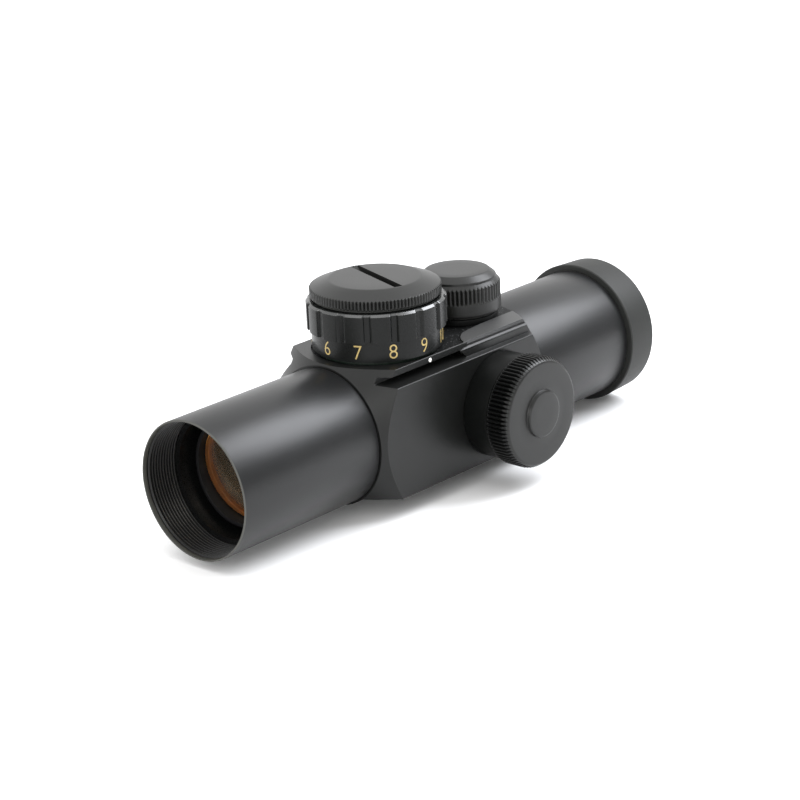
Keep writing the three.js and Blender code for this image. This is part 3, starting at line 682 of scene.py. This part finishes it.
wn = saddle.modifiers.new("normals", "WEIGHTED_NORMAL")
wn.keep_sharp = True
apply(saddle)
keep(saddle, "saddle_housing")

# index dot on the plate's right edge, beside the dial
bm = revolve_bm(rounded([(0, 14.79), (0.46, 14.79, 0), (0.46, 14.83, 0.03), (0.3, 14.87, 0.05), (0, 14.88)], 0.03, 2), 32, "X", (0, DIAL_Y + 0.02, 14.98))
dot = obj_from_bm(bm, "index_dot", M["dot"], 40)
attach(dot, "housing")

# ------------------------------------------------------------------ brightness dial
PADS, GROOVE_DEG, PAD_R, BAND_R, GROOVE_R = 16, -33.0, 15.1, 14.14, 14.58
half_w = 0.90 / PAD_R  # half width of a groove, radians
per = TAU / PADS


def smooth(e0, e1, x):
    t = max(0.0, min(1.0, (x - e0) / (e1 - e0)))
    return t * t * (3 - 2 * t)


angles = []
local = [0, 0.35, 0.60, 0.70, 0.80, 0.90, 0.97, 1.03, 1.10, 1.20, 1.34, 1.6]
for k in range(PADS):
    c = math.radians(GROOVE_DEG) + per * k
    for s in local:
        angles.append(c + half_w * s)
    span = per - 2 * half_w * 1.6
    for j in range(1, 8):
        angles.append(c + half_w * 1.6 + span * j / 8)
    for s in reversed(local[1:]):
        angles.append(c + per - half_w * s)
angles = [a % TAU for a in angles]


def dial_fn(a, k, r, hh):
    if r < 14.0:
        return r, hh
    d = (a - math.radians(GROOVE_DEG)) % per
    d = min(d, per - d)
    up_in = smooth(20.42, 20.62, hh)
    t = d / half_w
    if t < 0.97:
        pad = 0.74 * smooth(0.60, 0.97, t)
    else:
        pad = 0.74 + 0.26 * math.sqrt(max(0.0, 1 - (max(0.0, 1.34 - t) / 0.37) ** 2))
    target = GROOVE_R + (PAD_R - GROOVE_R) * pad
    top = max(0.0, min(1.0, (hh - 26.38) / 0.50))
    target -= 0.50 * top * pad
    return BAND_R + (target - BAND_R) * up_in if hh < 26.86 else r - (0.9 * (1 - pad) * 0.35), hh


prof = []
prof += rounded([(11.6, 24.8, 0.05), (11.6, 17.8, 0.05), (13.5, 17.8, 0.05), (13.5, 16.2, 0.05), (14.14, 16.2, 0.22)], 0.05, 3)
prof = [(11.6, 24.8), (11.6, 17.85), (11.65, 17.8), (13.5, 17.8), (13.5, 16.25), (13.55, 16.2), (13.92, 16.2), (14.06, 16.26), (14.14, 16.38)]
prof += [(14.14, z) for z in (17.0, 18.0, 19.0, 20.0, 20.36, 20.42, 20.47, 20.52, 20.57, 20.62, 20.7, 21.5, 23.0, 24.5, 25.6, 26.1, 26.30, 26.38, 26.46, 26.6, 26.74, 26.85)]
prof += [(14.25, 26.9), (13.55, 26.9), (13.42, 26.84), (13.4, 26.7), (13.4, 24.85), (13.35, 24.8)]
dial_rows = list(prof)
# the pads' top chamfer takes the painted-highlight colour
o = revolve("dial_ring_fluted", prof, [M["dial"], M["bevel"]], axis="Z", centre=(0, DIAL_Y, 0), closed=True, fn=dial_fn, angles=angles, sharp=30,
            mat_fn=lambda k: 1 if dial_rows[k][0] > 14 and 26.3 < dial_rows[k][1] < 26.88 else 0)
keep(o, "dial_ring")


# numerals 0 to 11 round the smooth band, set upright, painted
def numeral(text, angle_deg):
    cu = bpy.data.curves.new("numeral_" + text, "FONT")
    cu.body = text
    cu.size = 4.55
    cu.align_x = "CENTER"
    cu.space_character = 0.95
    cu.extrude = 0.0
    cu.offset = -0.055
    cu.resolution_u = 6
    t = bpy.data.objects.new("numeral_" + text, cu)
    bpy.context.scene.collection.objects.link(t)
    bpy.context.view_layer.update()
    me = bpy.data.meshes.new_from_object(t.evaluated_get(bpy.context.evaluated_depsgraph_get()))
    bpy.data.objects.remove(t)
    bm = bmesh.new()
    bm.from_mesh(me)
    bmesh.ops.remove_doubles(bm, verts=bm.verts, dist=1e-5)
    bmesh.ops.triangulate(bm, faces=bm.faces)
    bmesh.ops.subdivide_edges(bm, edges=bm.edges, cuts=2, use_grid_fill=True)
    ys = [v.co.y for v in bm.verts]
    mid = (min(ys) + max(ys)) / 2
    ret = bmesh.ops.extrude_face_region(bm, geom=list(bm.faces))
    new = {v for v in ret["geom"] if isinstance(v, bmesh.types.BMVert)}
    a = math.radians(angle_deg)
    for v in bm.verts:
        x, y = v.co.x * 0.94, v.co.y - mid
        r = 14.18 if v in new else 14.10
        th = a + x / 14.18
        v.co = Vector((r * math.cos(th) * MM, (DIAL_Y + r * math.sin(th)) * MM, (18.46 + y) * MM))
    return bm


NUMERAL_DEG = (85.7, 113.3, 141.0, 168.7, 196.3, 224.0, 263.7, 295.0, 325.9, 356.7, 28.5, 58.0)
for k in range(12):
    bm = numeral(str(k), NUMERAL_DEG[k])
    o = obj_from_bm(bm, "numeral_%d" % k, M["numeral"], 40)
    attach(o, "dial")

# ------------------------------------------------------------------ battery cap
TEETH = 110
cols = TEETH * 6


def rim_fn(depth, lo, hi, teeth, soft=0.35):
    def fn(a, k, r, hh):
        if lo <= hh <= hi:
            w = smooth(lo, lo + soft, hh) * (1 - smooth(hi - soft, hi, hh))
            ph = (a * teeth / TAU) % 1.0
            tri = abs(ph * 2 - 1)
            return r - depth * w * (1 - min(1.0, tri * 1.35)), hh
        return r, hh
    return fn


def knurl_rows(r, lo, hi, n):
    return [(r, lo + (hi - lo) * i / n) for i in range(n + 1)]


prof = [(0, 27.6), (11.9, 27.6), (11.9, 25.25), (11.95, 25.2), (13.05, 25.2), (13.1, 25.25), (13.1, 27.5), (13.9, 27.5), (14.08, 27.55), (14.17, 27.66)]
prof += knurl_rows(14.18, 27.72, 29.30, 8)
prof += [(14.13, 29.40), (14.05, 29.47), (13.92, 29.53), (13.80, 29.58), (13.70, 29.62), (12.9, 29.92), (11.5, 30.45), (10.25, 30.90), (9.95, 30.98), (9.6, 31.0), (6, 31.0), (3, 31.0), (0, 31.0)]


def cap_rim(a, k, r, hh):
    if r > 13.7 and 27.5 < hh < 29.7:
        ph = (a * TEETH / TAU) % 1.0
        return min(r, 14.18 - 0.36 * smooth(27.56, 27.75, hh) * (1 - min(1.0, abs(ph * 2 - 1) * 1.5))), hh
    return r, hh


cap = revolve("battery_cap_body", prof, M["cap"], cols, "Z", (0, DIAL_Y, 0), fn=cap_rim, sharp=None)
SLOT_HALF, SLOT_DEPTH = 10.1, 2.1
cut_r = (SLOT_HALF ** 2 + SLOT_DEPTH ** 2) / (2 * SLOT_DEPTH)
bmc = bmesh.new()
ring0, ring1 = [], []
sa = math.radians(-18.8)
dv, nv = Vector((math.cos(sa), math.sin(sa), 0)), Vector((-math.sin(sa), math.cos(sa), 0))
org = Vector((0.1, DIAL_Y + 0.3, 0)) - dv * 0.3
for ring, off in ((ring0, -0.95), (ring1, 0.95)):
    for i in range(41):
        x = -11.2 + 22.4 * i / 40
        z = 31.0 + cut_r - SLOT_DEPTH - math.sqrt(cut_r ** 2 - x * x)
        p = org + dv * x + nv * off
        ring.append(bmc.verts.new((p.x * MM, p.y * MM, z * MM)))
    for x in (11.2, -11.2):
        p = org + dv * x + nv * off
        ring.append(bmc.verts.new((p.x * MM, p.y * MM, 33 * MM)))
bmc.faces.new(ring0)
bmc.faces.new(ring1)
for i in range(len(ring0)):
    j = (i + 1) % len(ring0)
    bmc.faces.new((ring0[i], ring0[j], ring1[j], ring1[i]))
boolean(cap, cutter(bmc))
cap.data.shade_smooth()
cap.data.set_sharp_from_angle(angle=math.radians(28))
wn = cap.modifiers.new("normals", "WEIGHTED_NORMAL")
wn.keep_sharp = True
apply(cap)
keep(cap, "battery_cap")

o = revolve("battery_cap_seal_ring", rounded([(13.2, 27.02, 0.1), (13.7, 27.02, 0.15), (13.7, 27.4, 0.15), (13.2, 27.4, 0.1)], 0.1, 3, closed=True), M["rubber"], 128, "Z", (0, DIAL_Y, 0), closed=True)
keep(o, "battery_cap_seal")
o = revolve("battery_contact_disc", [(0, 26.0), (1.2, 26.0), (1.8, 26.1), (3.4, 26.6), (5.0, 26.9), (7.9, 26.92), (8.0, 27.0), (8.0, 27.2), (7.9, 27.3), (0, 27.3)], M["brass"], 64, "Z", (0, DIAL_Y, 0))
keep(o, "battery_contact")
o = revolve("coin_cell_can", rounded([(0, 22.5), (8.6, 22.5, 0.1), (8.7, 22.62, 0.05), (9.5, 22.62, 0.1), (9.7, 22.75, 0.1), (9.98, 22.95, 0.15), (9.98, 25.5, 0.3), (9.8, 25.7, 0.2), (8.0, 25.7, 0.05), (7.9, 25.66, 0.05), (0, 25.66)], 0.08, 3), M["cell"], 128, "Z", (0, DIAL_Y, 0))
keep(o, "coin_cell")

# ------------------------------------------------------------------ turrets
def turret_screw(name, node, axis, centre, head):
    prof = rounded([(0, 20), (1.9, 20, 0.05), (1.9, 14.8, 0.1), (3.0, 14.8, 0.1), (3.0, head, 0.05), (6.2, head, 0.15), (6.2, head + 1.6, 0.25), (0, head + 1.6)], 0.1, 3)
    s = revolve(name, prof, M["brass"], 96, axis, centre, sharp=None)
    if axis == "Z":
        b = box_bm(centre[0] - 7, centre[0] + 7, centre[1] - 0.6, centre[1] + 0.6, head + 0.7, head + 3)
    else:
        b = box_bm(head + 0.7, head + 3, centre[1] - 0.6, centre[1] + 0.6, centre[2] - 7, centre[2] + 7)
    boolean(s, cutter(b))
    s.data.shade_smooth()
    s.data.set_sharp_from_angle(angle=math.radians(30))
    keep(s, node)


def knurled(base_r, depth, teeth, lo, hi, cut=0.30):
    """Straight flutes that start softly at lo and run out through whatever bevel lies above."""
    def fn(a, k, r, hh):
        if lo <= hh <= hi and r > base_r - depth:
            w = smooth(lo, lo + cut, hh)
            ph = (a * teeth / TAU) % 1.0
            v = 1 - min(1.0, abs(ph * 2 - 1) * 1.55)
            return min(r, base_r - depth * w * v), hh
        return r, hh
    return fn


turret_screw("elevation_adjuster", "elevation_screw", "Z", (0, ELEV_Y, 0), 22.7)
turret_screw("windage_adjuster", "windage_screw", "X", (0, WIND_Y, 0), 23.6)

o = revolve("elevation_base_bush", rounded([(3.3, 14.4), (5.5, 14.4), (5.5, 15.4, 0.03), (8.7, 15.4, 0.1), (8.7, 16.7, 0.2), (7.8, 16.7, 0.1), (7.8, 22.4, 0.25), (3.3, 22.4, 0.1)], 0.05, 3, closed=True), M["turret"], 128, "Z", (0, ELEV_Y, 0), closed=True)
keep(o, "elevation_base")
o = revolve("elevation_cap_seal_ring", rounded([(7.95, 16.78), (8.6, 16.78), (8.6, 17.25), (7.95, 17.25)], 0.12, 3, closed=True), M["rubber"], 96, "Z", (0, ELEV_Y, 0), closed=True)
keep(o, "elevation_cap_seal")
ET = 60
prof = [(0, 24.9), (7.35, 24.9), (7.4, 24.85), (7.4, 22.85), (7.45, 22.8), (8.25, 22.8), (8.3, 22.75), (8.3, 17.42), (8.37, 17.35), (9.25, 17.35), (9.40, 17.38), (9.51, 17.46), (9.57, 17.57), (9.58, 17.70), (9.55, 18.2), (9.52, 19.0), (9.50, 19.8), (9.49, 20.15)]
prof += knurl_rows(9.48, 20.2, 23.42, 12) + [(9.42, 23.52), (9.33, 23.62), (9.25, 23.72), (9.16, 23.82), (9.08, 23.92), (8.70, 24.36), (8.61, 24.47), (8.58, 24.56), (8.58, 24.80), (8.55, 24.90), (8.47, 24.99), (7.30, 25.98), (7.12, 26.11), (6.90, 26.15), (4.6, 26.15), (2.3, 26.15), (0, 26.15)]
o = revolve("elevation_cap_body", prof, M["elev_cap"], ET * 8, "Z", (0, ELEV_Y, 0), fn=knurled(9.48, 0.36, ET, 20.2, 23.95), sharp=34)
keep(o, "elevation_cap")

# the collar takes the darker painted-shade copy of the turret black
o = revolve("windage_base_collar", rounded([(3.3, 13.9), (6.5, 13.9), (6.5, 16.5, 0.03), (11.7, 16.5, 0.1), (11.7, 22.8, 0.2), (9.2, 22.8, 0.1), (9.2, 25.0, 0.15), (6.6, 25.0, 0.1), (6.6, 23.3, 0.05), (3.3, 23.3, 0.1)], 0.05, 3, closed=True), M["collar"], 160, "X", (0, WIND_Y, 0), closed=True)
keep(o, "windage_base")
o = revolve("windage_cap_seal_ring", rounded([(9.5, 22.88), (11.5, 22.88), (11.5, 23.22), (9.5, 23.22)], 0.1, 3, closed=True), M["rubber"], 96, "X", (0, WIND_Y, 0), closed=True)
keep(o, "windage_cap_seal")
WT = 80
prof = [(0, 27.0), (9.75, 27.0), (9.75, 23.35), (9.8, 23.3), (12.0, 23.3), (12.2, 23.4), (12.28, 23.52)]
prof += knurl_rows(12.28, 23.6, 27.4, 12) + [(12.2, 27.62), (12.12, 27.74), (12.05, 27.85), (11.95, 28.0), (11.85, 28.15), (11.75, 28.3), (11.5, 28.62), (11.3, 28.77), (11.0, 28.8), (8, 28.8), (5.45, 28.8), (5.30, 28.83), (5.22, 28.95), (5.2, 29.3), (5.12, 29.48), (4.95, 29.57), (4.7, 29.6), (2.4, 29.6), (0, 29.6)]
# knurl rows take the darker painted-shade colour
o = revolve("windage_cap_body", prof, [M["wind_cap"], M["flute"]], WT * 8, "X", (0, WIND_Y, 0), fn=knurled(12.28, 0.78, WT, 23.45, 28.7, 0.25), sharp=34,
            mat_fn=lambda k: 1 if k + 1 < len(prof) and prof[k][0] > 11.7 and 23.35 < prof[k][1] < 28.2 else 0)
keep(o, "windage_cap")

# ------------------------------------------------------------------ inside the tube
prof = rounded([(10.9, -54.8, 0.1), (11.7, -54.8, 0.12), (11.7, 21.2, 0.1), (10.9, 21.2, 0.1)], 0.1, 3, closed=True)
o = revolve("inner_tube_sleeve", prof, M["inner"], 128, "Y", closed=True)
keep(o, "inner_tube")


def tilted(bm):
    rot = Matrix.Translation((0, LENS_Y * MM, 0)) @ Matrix.Rotation(TILT, 4, "X")
    bmesh.ops.transform(bm, matrix=rot, verts=bm.verts)
    return bm


def sag(v, e):
    return lambda r: v + (e - v) * (r / LENS_R) ** 2


front, middle, rear = sag(-2.0, -1.4), sag(0.6, -0.3), sag(1.6, 1.4)
radii = [0, 1.5, 3, 4.5, 6, 7.5, 9, 9.9, 10.3]
prof = [(r, front(r)) for r in radii] + [(LENS_R, front(LENS_R) + 0.28), (LENS_R, middle(LENS_R) - 0.05)] + [(r, middle(r) - 0.04) for r in reversed(radii)]
# edge rows take the orange painted-reflection colour
bm = tilted(revolve_bm(prof, 128, "Y", mat_fn=lambda k: 1 if len(radii) - 1 <= k <= len(radii) + 1 else 0))
o = obj_from_bm(bm, "lens_front_glass", [M["lens"], M["lens_edge"]], 30)
keep(o, "lens_front_element")
prof = [(r, middle(r) + 0.04) for r in radii] + [(LENS_R, middle(LENS_R) + 0.05), (LENS_R, rear(LENS_R) - 0.2)] + [(r, rear(r)) for r in reversed(radii)]
# edge rows take the orange painted-reflection colour
bm = tilted(revolve_bm(prof, 128, "Y", mat_fn=lambda k: 1 if len(radii) - 1 <= k <= len(radii) + 1 else 0))
o = obj_from_bm(bm, "lens_rear_glass", [M["glass"], M["lens_edge"]], 30)
keep(o, "lens_rear_element")
bm = tilted(revolve_bm(rounded([(9.7, 1.75), (10.5, 1.75), (10.5, 2.9), (9.7, 2.9)], 0.08, 2, closed=True), 96, "Y", closed=True))
o = obj_from_bm(bm, "lens_seat", M["inner"], 30)
keep(o, "lens_seat_ring")

# ------------------------------------------------------------------ CAD pieces that keep their own shape
SLOT_MAT = {
    "tube_black": "tube", "saddle_black": "saddle", "turret_black": "turret", "dial_black": "dial", "cap_black": "cap",
    "rubber_black": "rubber", "inner_black": "inner", "plastic_black": "plastic", "lens_coated": "lens", "clear_glass": "glass",
    "brass_plain": "brass", "steel_plain": "steel", "cell_steel": "cell", "board_green": "board", "led_red": "led", "wire_red": "wire",
}
slot_of = {s["node"]: s["material_slot"] for s in frame["record"]["subparts"]}
for name, node in NODES.items():
    mm = M[SLOT_MAT[slot_of[name]]]
    if not node.data.materials:
        node.data.materials.append(mm)
    for i in range(len(node.material_slots)):
        node.material_slots[i].material = mm

# ------------------------------------------------------------------ floor, backdrop and light
FLOOR_Z = -0.0169
fl = Nodes("floor_finish")
sh = fl.shader()
fl.link(fl.mix(fl.noise(3.0, 2.0), (0.82, 0.82, 0.82), (0.86, 0.86, 0.86)), sh.inputs["Base Color"])
fl.link(fl.remap(fl.noise(40.0, 2.0), 0.75, 0.85), sh.inputs["Roughness"])
sh.inputs["Specular IOR Level"].default_value = 0.2
bm = bmesh.new()
bmesh.ops.create_grid(bm, x_segments=8, y_segments=8, size=4.0)
for v in bm.verts:
    v.co.z = FLOOR_Z
floor = obj_from_bm(bm, "floor", fl.mat, None)

world = bpy.data.worlds.new("studio")
bpy.context.scene.world = world
world.use_nodes = True
bgn = world.node_tree.nodes["Background"]
bgn.inputs["Color"].default_value = (1.0, 1.0, 1.0, 1)
wn_ = world.node_tree.nodes
wl = world.node_tree.links
wc = wn_.new("ShaderNodeTexCoord")
wd = wn_.new("ShaderNodeVectorMath")
wd.operation = "DOT_PRODUCT"
wl.new(wc.outputs["Generated"], wd.inputs[0])
wd.inputs[1].default_value = (0.76, 0.65, 0.0)
wr = wn_.new("ShaderNodeMapRange")
wr.inputs["From Min"].default_value = 0.45
wr.inputs["From Max"].default_value = 0.95
wr.inputs["To Min"].default_value = 1.45
wr.inputs["To Max"].default_value = 0.35
wl.new(wd.outputs["Value"], wr.inputs["Value"])
wl.new(wr.outputs[0], bgn.inputs["Strength"])


def softbox(name, direction, distance, size, power, colour=(1, 1, 1), target=(0, 0, 0)):
    d = Vector(direction).normalized()
    li = bpy.data.lights.new(name, "AREA")
    li.shape = "RECTANGLE"
    li.size, li.size_y = size
    li.energy = power
    li.color = colour
    ob = bpy.data.objects.new(name, li)
    bpy.context.scene.collection.objects.link(ob)
    ob.location = Vector(target) + d * distance
    ob.rotation_euler = (-d).to_track_quat("-Z", "Y").to_euler()
    return ob


softbox("key", (0.345, 0.655, 0.672), 0.42, (0.24, 0.25), 2.1, (0.93, 0.95, 1.0), (0, -0.047, 0))
softbox("overhead", (0.0, -0.12, 1.0), 0.9, (0.8, 0.8), 2.5, (1.0, 1.0, 1.0), (0, 0, 0))
softbox("fill", (0.25, -0.90, 0.30), 0.8, (0.5, 0.4), 2.5, (1.0, 1.0, 0.98), (0, 0, 0))
